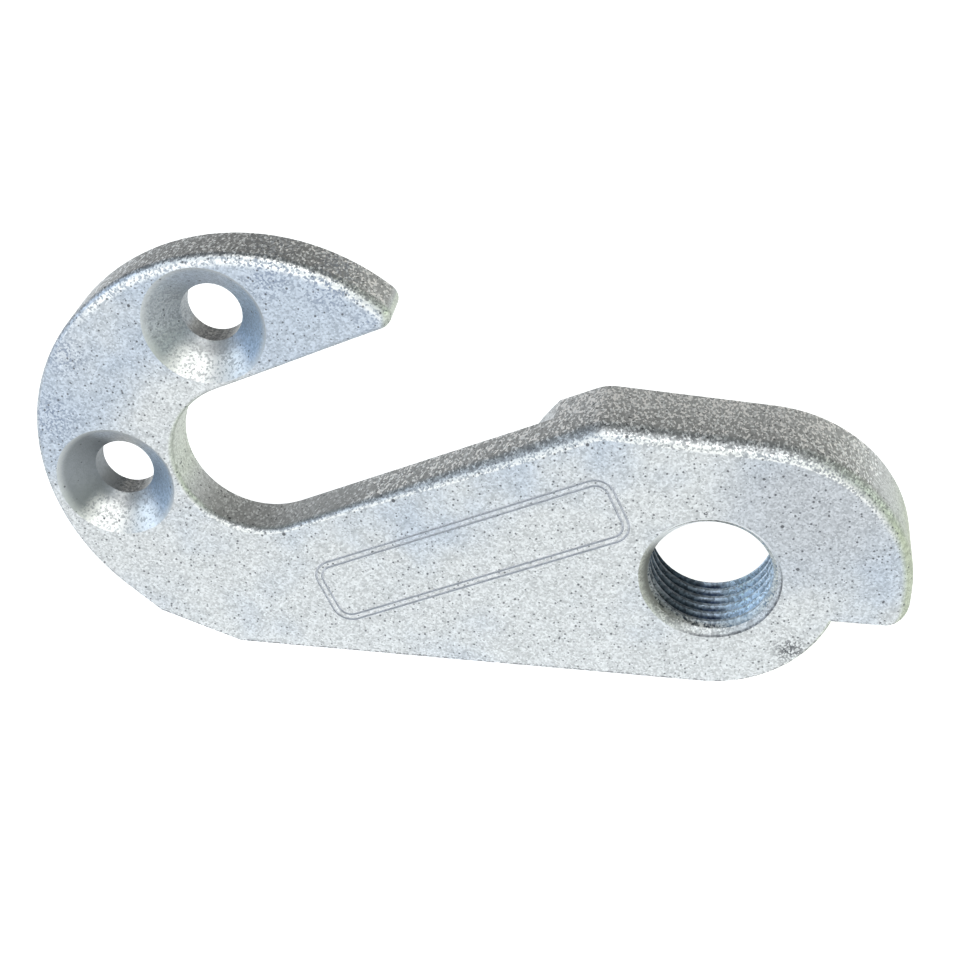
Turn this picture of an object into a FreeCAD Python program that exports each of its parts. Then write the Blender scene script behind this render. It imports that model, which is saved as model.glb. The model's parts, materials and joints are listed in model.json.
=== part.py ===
"""Bicycle dropout: a hook that takes the wheel axle, with an arm that ends in the derailleur's threaded eye.

It is one solid piece of aluminium, in millimetres. The origin is on the axis of the threaded eye, in the
plane of the hook's back face, which seats on the frame. +X runs along the straight lower edge away from
the hook, +Y goes through the plate from its front face to its back, and +Z is up.
"""
import FreeCAD, Part
import math
import os

from FreeCAD import Vector

# Plate thicknesses, both measured back from the one flat front face
HOOK_THICKNESS = 4.1
BOSS_THICKNESS = 6.7

# Threaded eye, bored to the tapping size of an M10 x 1 thread
EYE_BORE_DIAMETER = 9.1
EYE_FRONT_CHAMFER = 0.65
EYE_BACK_CHAMFER = 0.5
EYE_OUTER_RADIUS = 9.5

# Hook round the axle, with its centre measured from the eye
HOOK_CENTRE_X = -33.45
HOOK_CENTRE_Z = 7.2
HOOK_OUTER_RADIUS = 16.3
SLOT_WIDTH = 12.0
SLOT_ANGLE = 24.5
TIP_RADIUS = 1.1

# Heel, where the hook runs down into the straight lower edge
HEEL_TANGENT_ANGLE = 41.0
HEEL_RUN = 3.2
HEEL_FLAT_ANGLE = 20.5

# Boss round the eye: sloping top, round end, and the ledge that the derailleur's stop screw bears on
BOSS_TOP_HEIGHT = 11.5
BOSS_TOP_SLOPE = 3.5
BOSS_END_X = 14.45
BOSS_END_WALL = 1.15
ARM_CORNER_RADIUS = 3.0
LEDGE_DEPTH = 3.05
LEDGE_CORNER_RADIUS = 1.7

# Thicker round seat on the back of the boss, concentric with the eye, just past the corner of arm and boss
SEAT_MARGIN = 1.1
SEAT_ROOT_RADIUS = 0.6

# Two countersunk M4 screws that hold the hook to the frame, on a circle round the axle
SCREW_CIRCLE_DIAMETER = 22.0
SCREW_ANGLES = (105.0, 195.0)
SCREW_HOLE_DIAMETER = 4.5
COUNTERSINK_DIAMETER = 9.0
COUNTERSINK_ANGLE = 90.0

# Plain border of two fine lines sunk in the front of the arm, parallel to the slot
BORDER_LENGTH = 24.2
BORDER_HEIGHT = 5.6
BORDER_CORNER_RADIUS = 1.5
BORDER_BELOW_SLOT = 3.7
BORDER_FROM_EYE = 3.65
BORDER_LINE_WIDTH = 0.18
BORDER_LINE_SPACING = 0.45
BORDER_DEPTH = 0.15

# Edges: rounded at the front, more so on the boss and at the hook's tip, and chamfered at the back
EDGE_RADIUS = 0.5
BOSS_EDGE_RADIUS = 1.2
TIP_EDGE_RADIUS = 0.9
BACK_CHAMFER = 0.5

# How far a cutting tool runs past a face, and how near counts as the same place
OVERCUT = 1.0
TOLERANCE = 1e-4

# Where the hook's outside is highest, in degrees up from +X
HOOK_TOP_ANGLE = 90.0

# Planes of the three flat faces
FRONT_Y = -HOOK_THICKNESS
HOOK_BACK_Y = 0.0
SEAT_Y = FRONT_Y + BOSS_THICKNESS
THROUGH = Vector(0, 1, 0)


def at(x, z, y=FRONT_Y):
    """A point given along the plate and up, in the front face unless another depth is given."""
    return Vector(x, y, z)


def heading(angle):
    """The unit vector in the plate's plane at an angle in degrees up from +X."""
    turn = math.radians(angle)
    return Vector(math.cos(turn), 0, math.sin(turn))


def arc(centre, radius, start, end):
    """An arc in the plate's plane from one angle in degrees to another."""
    angles = (start, (start + end) / 2, end)
    return Part.Arc(*[centre + heading(angle) * radius for angle in angles]).toShape()


def line(start, end):
    """A straight edge."""
    return Part.LineSegment(start, end).toShape()


EYE = at(0, 0)
HOOK = at(HOOK_CENTRE_X, HOOK_CENTRE_Z)
ALONG_SLOT = heading(SLOT_ANGLE)
ACROSS_SLOT = heading(SLOT_ANGLE + 90)
SLOT_HALF = SLOT_WIDTH / 2
TOP_FALL = math.tan(math.radians(BOSS_TOP_SLOPE))
SLOT_RISE = math.tan(math.radians(SLOT_ANGLE))


def arm_corner():
    """The point where the slot's lower side, carried on as the arm's top, meets the boss's sloping top."""
    lower = HOOK - ACROSS_SLOT * SLOT_HALF
    x = (BOSS_TOP_HEIGHT - lower.z + lower.x * SLOT_RISE) / (SLOT_RISE + TOP_FALL)
    return at(x, BOSS_TOP_HEIGHT - x * TOP_FALL)


SEAT_RADIUS = (arm_corner() - EYE).Length + SEAT_MARGIN


def tip_centre():
    """The middle of the tip's round, which touches the slot's upper side and the hook's outside."""
    reach = math.sqrt((HOOK_OUTER_RADIUS - TIP_RADIUS) ** 2 - (SLOT_HALF + TIP_RADIUS) ** 2)
    return HOOK + ACROSS_SLOT * (SLOT_HALF + TIP_RADIUS) + ALONG_SLOT * reach


def hook_edges():
    """The hook's outside from its tip round to the lower edge, with the heel's corner and flat."""
    tip = tip_centre()
    tip_angle = math.degrees(math.atan2(tip.z - HOOK.z, tip.x - HOOK.x))
    heel_angle = 270 - HEEL_TANGENT_ANGLE
    heel_start = HOOK + heading(heel_angle) * HOOK_OUTER_RADIUS
    heel_corner = heel_start + heading(-HEEL_TANGENT_ANGLE) * HEEL_RUN
    drop = heel_corner.z + EYE_OUTER_RADIUS
    heel_end = at(heel_corner.x + drop / math.tan(math.radians(HEEL_FLAT_ANGLE)), -EYE_OUTER_RADIUS)
    return [
        line(HOOK + ACROSS_SLOT * SLOT_HALF, tip - ACROSS_SLOT * TIP_RADIUS),
        arc(tip, TIP_RADIUS, SLOT_ANGLE - 90, tip_angle),
        arc(HOOK, HOOK_OUTER_RADIUS, tip_angle, HOOK_TOP_ANGLE),
        arc(HOOK, HOOK_OUTER_RADIUS, HOOK_TOP_ANGLE, heel_angle),
        line(heel_start, heel_corner),
        line(heel_corner, heel_end),
        line(heel_end, at(0, -EYE_OUTER_RADIUS)),
    ]


def boss_edges():
    """The boss's outside from under the eye, by way of the ledge and the round end, to the arm's corner.

    The round end touches the sloping top and the top of the short upright wall.
    """
    notch_angle = -math.degrees(math.asin(LEDGE_DEPTH / EYE_OUTER_RADIUS))
    notch = EYE + heading(notch_angle) * EYE_OUTER_RADIUS
    corner = at(BOSS_END_X - LEDGE_CORNER_RADIUS, LEDGE_CORNER_RADIUS - LEDGE_DEPTH)
    wall_top = corner.z + BOSS_END_WALL
    room = BOSS_TOP_HEIGHT - BOSS_END_X * TOP_FALL - wall_top
    end_radius = room / (1 / math.cos(math.radians(BOSS_TOP_SLOPE)) - TOP_FALL)
    end = at(BOSS_END_X - end_radius, wall_top)
    top_angle = 90 - BOSS_TOP_SLOPE
    return [
        arc(EYE, EYE_OUTER_RADIUS, -90, notch_angle),
        line(notch, at(corner.x, -LEDGE_DEPTH)),
        arc(corner, LEDGE_CORNER_RADIUS, -90, 0),
        line(at(BOSS_END_X, corner.z), at(BOSS_END_X, wall_top)),
        arc(end, end_radius, 0, top_angle),
        line(end + heading(top_angle) * end_radius, arm_corner()),
    ]


def slot_edges():
    """The arm's top, which is the slot's lower side, and the slot's round end."""
    return [
        line(arm_corner(), HOOK - ACROSS_SLOT * SLOT_HALF),
        arc(HOOK, SLOT_HALF, SLOT_ANGLE + 270, SLOT_ANGLE + 90),
    ]


def blank():
    """The whole outline at the boss's thickness, with the upright corner between arm and boss rounded."""
    wire = Part.Wire(hook_edges() + boss_edges() + slot_edges())
    solid = Part.Face(wire).extrude(THROUGH * BOSS_THICKNESS)
    corner = arm_corner()
    upright = [edge for edge in solid.Edges if all(
        abs(end.X - corner.x) < TOLERANCE and abs(end.Z - corner.z) < TOLERANCE for end in edge.Vertexes)]
    return solid.makeFillet(ARM_CORNER_RADIUS, upright)


def relieve_back(solid):
    """Takes the hook and the arm down to the hook's thickness, and leaves the round seat behind the eye."""
    box = solid.BoundBox
    corner = at(box.XMin - OVERCUT, box.ZMin - OVERCUT, HOOK_BACK_Y)
    height = SEAT_Y - HOOK_BACK_Y + OVERCUT
    waste = Part.makeBox(box.XLength + 2 * OVERCUT, height, box.ZLength + 2 * OVERCUT, corner)
    seat = Part.makeCylinder(SEAT_RADIUS, height, at(0, 0, HOOK_BACK_Y), THROUGH)
    return solid.cut(waste.cut(seat))


def lies_at(edge, y):
    """Whether an edge lies wholly in the plane at depth y."""
    return all(abs(point.y - y) < TOLERANCE for point in edge.discretize(3))


def is_seat_root(edge):
    """Whether an edge is the inside corner between the hook's back and the seat's wall."""
    circle = edge.Curve
    on_seat = isinstance(circle, Part.Circle) and abs(circle.Radius - SEAT_RADIUS) < TOLERANCE
    return on_seat and lies_at(edge, HOOK_BACK_Y)


def chamfer_back(solid):
    """Chamfers the outline of the hook's back and of the seat."""
    hook = [edge for edge in solid.Edges if lies_at(edge, HOOK_BACK_Y) and not is_seat_root(edge)]
    seat = [edge for edge in solid.Edges if lies_at(edge, SEAT_Y)]
    return solid.makeChamfer(BACK_CHAMFER, hook + seat)


def front_radius(point):
    """The front edge's rounding at a point: it grows from the hook's top to its tip, and along the arm's top."""
    if (point - tip_centre()).Length < TIP_RADIUS + TOLERANCE:
        return TIP_EDGE_RADIUS
    past_arm = point.x > arm_corner().x - ARM_CORNER_RADIUS
    above_ledge = point.z > -LEDGE_DEPTH + TOLERANCE
    return BOSS_EDGE_RADIUS if past_arm and above_ledge else EDGE_RADIUS


def edge_radii(edge):
    """The rounding at an edge's two ends, or None for an edge that stays as it is."""
    if lies_at(edge, FRONT_Y):
        ends = (edge.FirstParameter, edge.LastParameter)
        return tuple(front_radius(edge.valueAt(end)) for end in ends)
    if is_seat_root(edge):
        return (SEAT_ROOT_RADIUS, SEAT_ROOT_RADIUS)
    return None


def soften(solid):
    """Rounds the front face's outline and the seat's root, each edge by its own radii."""
    document = FreeCAD.newDocument("dropout")
    base = document.addObject("Part::Feature", "stepped_blank")
    base.Shape = solid
    rounded = document.addObject("Part::Fillet", "softened_blank")
    rounded.Base = base
    radii = [(number, edge_radii(edge)) for number, edge in enumerate(base.Shape.Edges, start=1)]
    rounded.Edges = [(number, *pair) for number, pair in radii if pair]
    document.recompute()
    result = rounded.Shape.copy()
    FreeCAD.closeDocument(document.Name)
    return result


def cone(place, wide, narrow, depth, inwards):
    """A cone that opens at a face, with its wide end carried past the face at the same slope."""
    slope = (wide - narrow) / depth
    start = place - inwards * OVERCUT
    return Part.makeCone(wide + slope * OVERCUT, narrow, depth + OVERCUT, start, inwards)


def eye_cutter():
    """The eye's bore with a chamfer at each end."""
    bore = EYE_BORE_DIAMETER / 2
    start = at(0, 0, FRONT_Y - OVERCUT)
    hole = Part.makeCylinder(bore, BOSS_THICKNESS + 2 * OVERCUT, start, THROUGH)
    front = cone(EYE, bore + EYE_FRONT_CHAMFER, bore, EYE_FRONT_CHAMFER, THROUGH)
    back = cone(at(0, 0, SEAT_Y), bore + EYE_BACK_CHAMFER, bore, EYE_BACK_CHAMFER, -THROUGH)
    return hole.fuse([front, back])


def screw_cutter(angle):
    """One frame screw's hole with its countersink in the front face."""
    place = HOOK + heading(angle) * (SCREW_CIRCLE_DIAMETER / 2)
    radius = SCREW_HOLE_DIAMETER / 2
    rim = COUNTERSINK_DIAMETER / 2
    depth = (rim - radius) / math.tan(math.radians(COUNTERSINK_ANGLE / 2))
    start = place - THROUGH * OVERCUT
    hole = Part.makeCylinder(radius, HOOK_THICKNESS + 2 * OVERCUT, start, THROUGH)
    return hole.fuse(cone(place, rim, radius, depth, THROUGH))


def rounded_bar(length, height, radius, centre):
    """A bar with round corners, parallel to the slot, that cuts to the border's depth."""
    across = height / 2 - radius
    along = length / 2 - radius
    quarters = [(along, across, 0), (-along, across, 90), (-along, -across, 180), (along, -across, 270)]
    corners = []
    for right, up, start in quarters:
        middle = centre + ALONG_SLOT * right + ACROSS_SLOT * up
        corners.append(arc(middle, radius, SLOT_ANGLE + start, SLOT_ANGLE + start + 90))
    edges = []
    for number, corner in enumerate(corners):
        following = corners[(number + 1) % len(corners)]
        edges.append(corner)
        edges.append(line(corner.Vertexes[-1].Point, following.Vertexes[0].Point))
    face = Part.Face(Part.Wire(edges))
    face.translate(-THROUGH * OVERCUT)
    return face.extrude(THROUGH * (BORDER_DEPTH + OVERCUT))


def border_line(inset, centre):
    """One sunk line of the border, set in from its outside: a round-cornered bar less a smaller one."""
    bars = []
    for step in (inset, inset + BORDER_LINE_WIDTH):
        length = BORDER_LENGTH - 2 * step
        height = BORDER_HEIGHT - 2 * step
        bars.append(rounded_bar(length, height, BORDER_CORNER_RADIUS - step, centre))
    return bars[0].cut(bars[1])


def border_cutters():
    """The border's outer and inner line."""
    eye_along = (EYE - HOOK).dot(ALONG_SLOT)
    along = eye_along - BORDER_FROM_EYE - BORDER_LENGTH / 2
    below = SLOT_HALF + BORDER_BELOW_SLOT + BORDER_HEIGHT / 2
    centre = HOOK + ALONG_SLOT * along - ACROSS_SLOT * below
    return [border_line(inset, centre) for inset in (0, BORDER_LINE_SPACING)]


def dropout():
    """The finished piece."""
    solid = soften(chamfer_back(relieve_back(blank())))
    cutters = [eye_cutter()] + border_cutters()
    cutters += [screw_cutter(angle) for angle in SCREW_ANGLES]
    return solid.cut(cutters).removeSplitter()


os.makedirs("parts", exist_ok=True)
dropout().exportStep("parts/dropout.step")
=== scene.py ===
"""Dresses the bicycle dropout: cuts the eye's thread, gives the metal its blasted finish and lights it."""
import json
import logging
import math
from dataclasses import dataclass
from enum import Enum
from functools import cached_property
from typing import Callable

import bpy
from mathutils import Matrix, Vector

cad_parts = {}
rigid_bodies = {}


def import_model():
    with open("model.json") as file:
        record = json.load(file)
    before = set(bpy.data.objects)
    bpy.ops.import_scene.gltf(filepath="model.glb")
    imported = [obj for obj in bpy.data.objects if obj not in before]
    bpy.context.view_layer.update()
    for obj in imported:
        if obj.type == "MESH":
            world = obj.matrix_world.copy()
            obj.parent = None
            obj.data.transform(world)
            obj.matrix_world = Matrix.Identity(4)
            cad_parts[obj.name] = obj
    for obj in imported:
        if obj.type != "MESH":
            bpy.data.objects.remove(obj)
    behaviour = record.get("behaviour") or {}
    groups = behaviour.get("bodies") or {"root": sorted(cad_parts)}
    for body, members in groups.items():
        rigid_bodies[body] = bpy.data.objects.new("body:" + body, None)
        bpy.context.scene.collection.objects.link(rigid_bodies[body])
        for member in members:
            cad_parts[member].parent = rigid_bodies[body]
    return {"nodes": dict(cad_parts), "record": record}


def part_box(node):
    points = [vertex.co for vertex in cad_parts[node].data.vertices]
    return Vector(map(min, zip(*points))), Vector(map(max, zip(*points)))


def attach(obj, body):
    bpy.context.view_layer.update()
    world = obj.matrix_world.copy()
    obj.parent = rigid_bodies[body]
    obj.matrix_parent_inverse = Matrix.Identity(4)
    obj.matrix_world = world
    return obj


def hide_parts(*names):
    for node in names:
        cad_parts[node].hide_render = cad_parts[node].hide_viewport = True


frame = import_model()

log = logging.getLogger("dropout")

Colour = tuple[float, float, float]
Place = tuple[float, float, float]
Span = tuple[float, float]
Socket = bpy.types.NodeSocket
Sockets = dict[str, Socket]
Value = float | Socket
Paint = Colour | Socket
FaceTest = Callable[[bpy.types.MeshPolygon], bool]

MM = 0.001
NODE = "dropout"
BODY = "root"
WELD = 0.001 * MM
WHITE: Colour = (1.0, 1.0, 1.0)


class Region(Enum):
    """The places on the dropout that have a finish of their own, by material slot."""

    FACES = 0
    COUNTERSINKS = 1
    EYE_RIM = 2
    THREAD = 3
    BORDER = 4


def mount(name: str) -> dict:
    """Finds one of the part's mounts.

    Args:
        name: the mount's name in the record.

    Returns:
        The mount's entry, with its place, axis and sizes.
    """
    return next(entry for entry in frame["record"]["mounts"] if entry["name"] == name)


AXLE = Vector(mount("axle_slot")["pos_m"])
EYE = Vector(mount("derailleur_thread")["pos_m"])


def deselect() -> None:
    """Leaves edit mode and clears the selection."""
    if bpy.context.object and bpy.context.object.mode != "OBJECT":
        bpy.ops.object.mode_set(mode="OBJECT")
    bpy.ops.object.select_all(action="DESELECT")


def pick(thing: bpy.types.Object) -> None:
    """Makes one object the only selected and the active one."""
    deselect()
    thing.select_set(True)
    bpy.context.view_layer.objects.active = thing


@dataclass(frozen=True)
class Fade:
    """A smooth change: a value that goes from low to high becomes one that goes from floor to top."""

    low: float
    high: float
    floor: float = 0.0
    top: float = 1.0


@dataclass(frozen=True)
class Ring:
    """A mask round an axis through the plate: where the axis is, and where the mask starts and is full."""

    x: float
    z: float
    start: float
    end: float


@dataclass(frozen=True)
class Specks:
    """Small dark spots: how far apart, how large, in what share of the places, and how dark they are."""

    spacing: float
    radius: float
    share: float
    strength: float


class Wiring:
    """Adds nodes to one shader tree and joins their sockets."""

    def __init__(self, tree: bpy.types.ShaderNodeTree) -> None:
        """Takes the tree to work on and empties it."""
        self.tree = tree
        tree.nodes.clear()

    def node(self, kind: str, **settings: object) -> bpy.types.Node:
        """Adds a node.

        Args:
            kind: the node's type.
            settings: properties of the node, such as its operation.

        Returns:
            The new node.
        """
        made = self.tree.nodes.new(kind)
        for name, value in settings.items():
            setattr(made, name, value)
        return made

    def feed(self, socket: Socket, value: Value | Paint) -> None:
        """Joins an output to an input, or sets the input where the value is plain.

        Args:
            socket: the input.
            value: an output socket, a number or a colour.
        """
        if isinstance(value, Socket):
            self.tree.links.new(value, socket)
        elif isinstance(value, tuple) and len(socket.default_value) == len(value) + 1:
            socket.default_value = (*value, 1.0)
        else:
            socket.default_value = value

    def maths(self, operation: str, *values: Value) -> Socket:
        """What an operation makes of one or two values."""
        made = self.node("ShaderNodeMath", operation=operation)
        for socket, value in zip(made.inputs, values):
            self.feed(socket, value)
        return made.outputs[0]

    def product(self, *values: Value) -> Socket:
        """All the values multiplied together."""
        made = values[0]
        for value in values[1:]:
            made = self.maths("MULTIPLY", made, value)
        return made

    def ramp(self, value: Value, low: Value, high: Value,
             floor: Value = 0.0, top: Value = 1.0) -> Socket:
        """Maps a range of a value smoothly to another range.

        Args:
            value: the value that is mapped.
            low: where the range starts.
            high: where the range ends.
            floor: what the start becomes.
            top: what the end becomes.

        Returns:
            The mapped value, which stays between floor and top.
        """
        made = self.node("ShaderNodeMapRange", interpolation_type="SMOOTHSTEP")
        names = ("Value", "From Min", "From Max", "To Min", "To Max")
        for name, number in zip(names, (value, low, high, floor, top)):
            self.feed(made.inputs[name], number)
        return made.outputs["Result"]

    def fade(self, value: Value, change: Fade) -> Socket:
        """A value after a smooth change."""
        return self.ramp(value, change.low, change.high, change.floor, change.top)

    def mix(self, share: Value, first: Paint, second: Paint) -> Socket:
        """Mixes two colours.

        Args:
            share: how much of the second there is.
            first: the colour underneath.
            second: the colour on top.

        Returns:
            The mixed colour.
        """
        made = self.node("ShaderNodeMix", data_type="RGBA")
        self.feed(made.inputs[0], share)
        self.feed(made.inputs[6], first)
        self.feed(made.inputs[7], second)
        return made.outputs[2]

    def place(self) -> Socket:
        """The place on the piece, in metres."""
        return self.node("ShaderNodeTexCoord").outputs["Object"]

    def split(self, vector: Socket) -> Sockets:
        """The three parts of a vector, by the name of their axis."""
        made = self.node("ShaderNodeSeparateXYZ")
        self.feed(made.inputs[0], vector)
        return {axis: made.outputs[axis] for axis in "XYZ"}

    def scaled(self, colour: Paint, factor: Value) -> Socket:
        """A colour made lighter or darker.

        Args:
            colour: the colour.
            factor: what it is multiplied by.

        Returns:
            The scaled colour.
        """
        made = self.node("ShaderNodeVectorMath", operation="SCALE")
        self.feed(made.inputs["Vector"], colour)
        self.feed(made.inputs["Scale"], factor)
        return made.outputs["Vector"]

    def noise(self, vector: Socket, scale: Value, detail: float = 2.0) -> Socket:
        """Cloudy noise at a number of features to the metre."""
        made = self.node("ShaderNodeTexNoise")
        self.feed(made.inputs["Vector"], vector)
        self.feed(made.inputs["Scale"], scale)
        self.feed(made.inputs["Detail"], detail)
        return made.outputs["Fac"]

    def cells(self, vector: Socket, scale: Value) -> tuple[Socket, Socket]:
        """Random cells at a number to the metre.

        Args:
            vector: the place on the surface.
            scale: how many cells there are to the metre.

        Returns:
            The distance to the cell's middle, in cells, and the cell's own random value.
        """
        made = self.node("ShaderNodeTexVoronoi")
        self.feed(made.inputs["Vector"], vector)
        self.feed(made.inputs["Scale"], scale)
        split = self.node("ShaderNodeSeparateColor")
        self.feed(split.inputs[0], made.outputs["Color"])
        return made.outputs["Distance"], split.outputs[0]


class Effects:
    """Surface effects that several finishes share, each a node group."""

    CLOUD_SCALE = 0.3
    CELL_SHARE = 0.6
    SPARKLE_POWER = 3.0
    SPECK_SIZES = (0.5, 1.1)
    SPECK_CORE = 0.6

    def __init__(self) -> None:
        """Builds each group once."""
        self.grain = self._group(
            "blast_grain", ("Size", "Squash"), ("Height", "Shade", "Sparkle"), self._grain)
        self.specks = self._group("specks", ("Spacing", "Radius", "Share"), ("Mask",), self._specks)
        self.facing = self._group("facing", (), ("Front", "Up", "Right", "Left"), self._facing)
        self.ring = self._group("ring", ("X", "Z", "Start", "End"), ("Mask",), self._ring)

    def _group(self, name: str, inputs: tuple[str, ...], outputs: tuple[str, ...],
               fill: Callable[[Wiring, bpy.types.Node, bpy.types.Node], None]) -> bpy.types.ShaderNodeTree:
        """Makes a node group whose inputs and outputs are values.

        Args:
            name: the group's name.
            inputs: its inputs.
            outputs: its outputs.
            fill: adds the group's nodes between its input and its output.

        Returns:
            The finished group.
        """
        tree = bpy.data.node_groups.new(name, "ShaderNodeTree")
        for way, sockets in (("INPUT", inputs), ("OUTPUT", outputs)):
            for label in sockets:
                tree.interface.new_socket(label, in_out=way, socket_type="NodeSocketFloat")
        wiring = Wiring(tree)
        fill(wiring, wiring.node("NodeGroupInput"), wiring.node("NodeGroupOutput"))
        return tree

    @classmethod
    def _grain(cls, wiring: Wiring, start: bpy.types.Node, end: bpy.types.Node) -> None:
        """Dimples left by the blasting beads: their height, a shade for each, and the few that sparkle."""
        scale = wiring.maths("DIVIDE", 1.0, start.outputs["Size"])
        squash = wiring.node("ShaderNodeCombineXYZ")
        for name, value in (("X", 1.0), ("Y", start.outputs["Squash"]), ("Z", 1.0)):
            wiring.feed(squash.inputs[name], value)
        drawn = wiring.node("ShaderNodeVectorMath", operation="MULTIPLY")
        wiring.feed(drawn.inputs[0], wiring.place())
        wiring.feed(drawn.inputs[1], squash.outputs["Vector"])
        distance, shade = wiring.cells(drawn.outputs["Vector"], scale)
        cloud = wiring.noise(drawn.outputs["Vector"], wiring.product(scale, cls.CLOUD_SCALE))
        single = wiring.product(shade, cls.CELL_SHARE)
        mottled = wiring.maths("ADD", single, wiring.product(cloud, 1 - cls.CELL_SHARE))
        wiring.feed(end.inputs["Height"], distance)
        wiring.feed(end.inputs["Shade"], mottled)
        wiring.feed(end.inputs["Sparkle"], wiring.maths("POWER", shade, cls.SPARKLE_POWER))

    @classmethod
    def _specks(cls, wiring: Wiring, start: bpy.types.Node, end: bpy.types.Node) -> None:
        """Small spots at a spacing, of a radius, in a share of the places."""
        scale = wiring.maths("DIVIDE", 1.0, start.outputs["Spacing"])
        distance, chance = wiring.cells(wiring.place(), scale)
        size = wiring.ramp(chance, 0.0, start.outputs["Share"], *cls.SPECK_SIZES)
        radius = wiring.product(start.outputs["Radius"], scale, size)
        spot = wiring.ramp(distance, wiring.product(radius, cls.SPECK_CORE), radius, 1.0, 0.0)
        kept = wiring.maths("LESS_THAN", chance, start.outputs["Share"])
        wiring.feed(end.inputs["Mask"], wiring.product(spot, kept))

    @staticmethod
    def _facing(wiring: Wiring, start: bpy.types.Node, end: bpy.types.Node) -> None:
        """How far the surface faces to the front of the dropout, up, and to its two ends."""
        normal = wiring.split(wiring.node("ShaderNodeTexCoord").outputs["Normal"])
        wiring.feed(end.inputs["Front"], wiring.product(normal["Y"], -1.0))
        wiring.feed(end.inputs["Up"], normal["Z"])
        wiring.feed(end.inputs["Right"], normal["X"])
        wiring.feed(end.inputs["Left"], wiring.product(normal["X"], -1.0))

    @staticmethod
    def _ring(wiring: Wiring, start: bpy.types.Node, end: bpy.types.Node) -> None:
        """Grows from one distance to another round an axis that goes through the plate."""
        place = wiring.split(wiring.place())
        along = wiring.maths("POWER", wiring.maths("SUBTRACT", place["X"], start.outputs["X"]), 2.0)
        up = wiring.maths("POWER", wiring.maths("SUBTRACT", place["Z"], start.outputs["Z"]), 2.0)
        off = wiring.maths("SQRT", wiring.maths("ADD", along, up))
        wiring.feed(end.inputs["Mask"], wiring.ramp(off, start.outputs["Start"], start.outputs["End"]))


class Surface:
    """One material's nodes, with what its finish reads: the grain, where it faces and its place."""

    def __init__(self, tree: bpy.types.ShaderNodeTree, effects: Effects, grain_size: float) -> None:
        """Takes over the nodes of a material.

        Args:
            tree: the material's nodes.
            effects: the shared node groups.
            grain_size: how large the blasted dimples are, in metres.
        """
        self.wiring = Wiring(tree)
        self.effects = effects
        self.grain_size = grain_size

    @cached_property
    def grain(self) -> Sockets:
        """The blasted grain: its height, shade and sparkle."""
        return self.grained(1.0)

    @cached_property
    def facing(self) -> Sockets:
        """How far the surface faces to each side."""
        return self._effect(self.effects.facing)

    @cached_property
    def place(self) -> Sockets:
        """The place on the piece, in metres, by axis."""
        return self.wiring.split(self.wiring.place())

    def _effect(self, group: bpy.types.ShaderNodeTree, **values: float) -> Sockets:
        """Places a shared effect.

        Args:
            group: the effect.
            values: its inputs by name.

        Returns:
            Its outputs by name.
        """
        made = self.wiring.node("ShaderNodeGroup", node_tree=group)
        for name, value in values.items():
            made.inputs[name].default_value = value
        return {socket.name: socket for socket in made.outputs}

    def grained(self, squash: float) -> Sockets:
        """The blasted grain, drawn out through the plate where squash is under 1."""
        return self._effect(self.effects.grain, Size=self.grain_size, Squash=squash)

    def specks(self, spots: Specks) -> Socket:
        """The mask of some small spots."""
        made = self._effect(
            self.effects.specks, Spacing=spots.spacing, Radius=spots.radius, Share=spots.share)
        return made["Mask"]

    def ring(self, place: Ring) -> Socket:
        """The mask of one ring."""
        made = self._effect(self.effects.ring, X=place.x, Z=place.z, Start=place.start, End=place.end)
        return made["Mask"]

    def rings(self, places: tuple[Ring, ...]) -> Value:
        """The masks of all the rings added up, or nought where there are none."""
        total = 0.0
        for place in places:
            total = self.wiring.maths("ADD", total, self.ring(place))
        return total

    def nearest(self, places: tuple[Ring, ...]) -> Value:
        """The lowest of the rings' masks, or 1 where there are none."""
        least = 1.0
        for place in places:
            least = self.wiring.maths("MINIMUM", least, self.ring(place))
        return least


@dataclass(frozen=True)
class Marks:
    """Single marks on the front: cool and dull spots, stains between the grains, and dark smudges."""

    cool_spots: tuple[Ring, ...] = ()
    dull_spots: tuple[Ring, ...] = ()
    stains: tuple[Ring, ...] = ()
    smudges: tuple[Ring, ...] = ()


FRONT_MARKS = Marks(
    cool_spots=(
        Ring(-47.5 * MM, 5.5 * MM, 5.0 * MM, 0.0),
        Ring(-29.0 * MM, 21.0 * MM, 4.5 * MM, 0.0),
        Ring(3.0 * MM, 8.5 * MM, 5.0 * MM, 0.0),
    ),
    dull_spots=(
        Ring(6.5 * MM, 6.5 * MM, 9.0 * MM, 2.0 * MM),
    ),
    stains=(
        Ring(-27.3 * MM, 21.2 * MM, 2.8 * MM, 0.0),
        Ring(-31.5 * MM, 22.0 * MM, 2.8 * MM, 0.0),
        Ring(-24.6 * MM, 19.0 * MM, 1.5 * MM, 0.0),
        Ring(-48.4 * MM, 9.6 * MM, 3.4 * MM, 0.0),
        Ring(-46.8 * MM, 14.8 * MM, 2.6 * MM, 0.0),
    ),
    smudges=(
        Ring(6.2 * MM, -5.7 * MM, 1.7 * MM, 0.0),
        Ring(-0.7 * MM, 5.6 * MM, 0.3 * MM, 0.0),
    ),
)


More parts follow.
